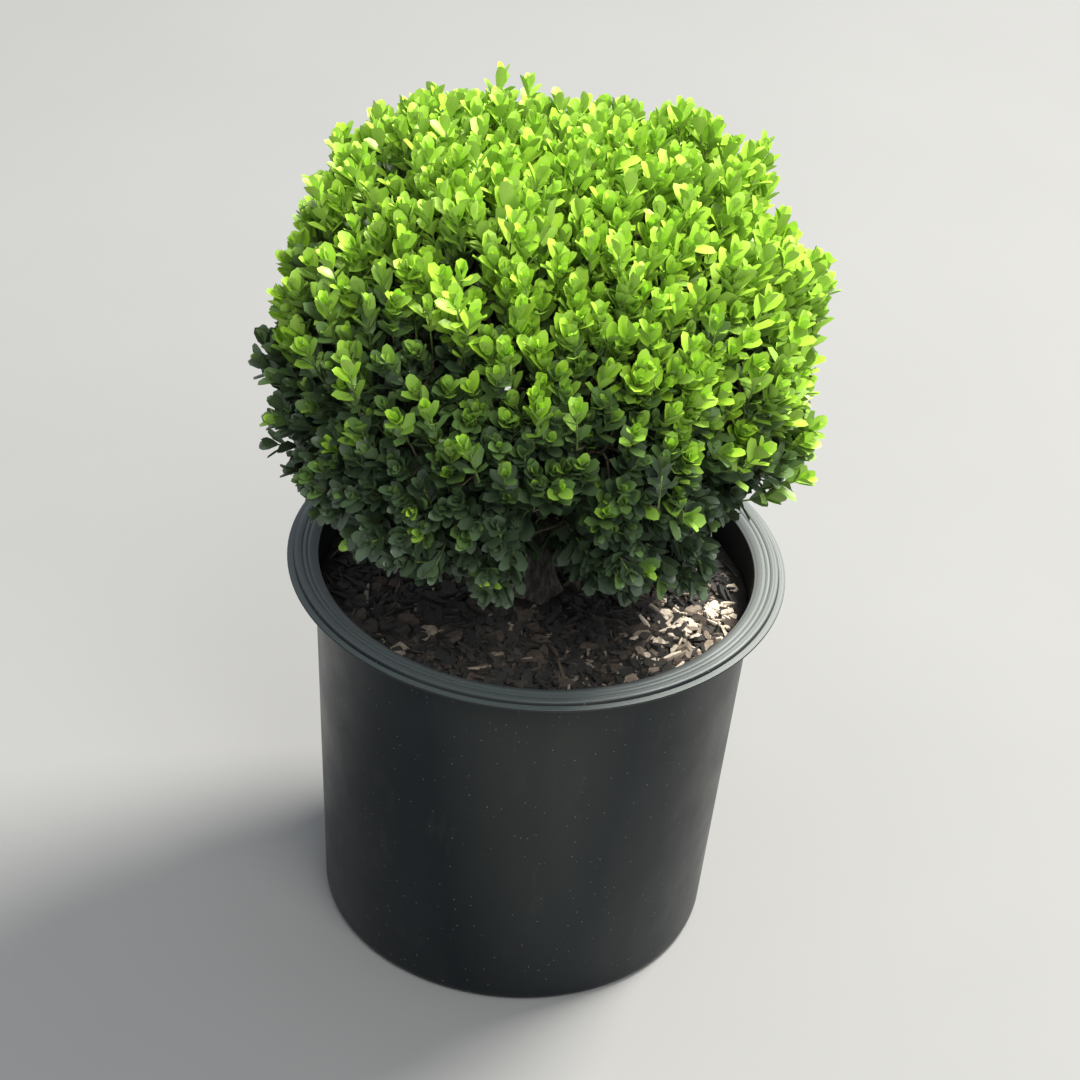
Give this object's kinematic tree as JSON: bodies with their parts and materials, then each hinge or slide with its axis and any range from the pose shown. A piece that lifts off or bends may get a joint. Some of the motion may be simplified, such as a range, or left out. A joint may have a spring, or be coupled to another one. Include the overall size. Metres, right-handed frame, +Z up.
{
  "type": "potted box topiary ball",
  "caption": "Clipped globe of small-leaved box on a short forked trunk, growing in a round tapered black plastic nursery pot filled with potting bark.",
  "frame": {"origin": "centre of the pot's flat underside", "axes": "+Z up through the trunk; -Y faces the picture's viewer, turned 8.5 degrees towards -X; +X to the viewer's right"},
  "size_m": [0.3193, 0.2994, 0.5087],
  "materials": {
    "pot": "satin black moulded plastic, lightly scuffed",
    "potting_bark": "damp shredded pine bark with a few dry tan chips",
    "bark": "grey-brown bark, finely cracked",
    "leaves": "small leathery leaves, yellow-green when new and deep green inside"
  },
  "bodies": {
    "root": {"pot": "pot", "soil": "potting_bark", "trunk": "bark", "bough_front_right": "bark", "bough_right": "bark", "bough_back_right": "bark", "bough_back_left": "bark", "bough_left": "bark", "bough_front_left": "bark", "bough_top": "bark", "foliage_front_right": "leaves", "foliage_right": "leaves", "foliage_back_right": "leaves", "foliage_back_left": "leaves", "foliage_left": "leaves", "foliage_front_left": "leaves", "foliage_top": "leaves"}
  },
  "joints": []
}
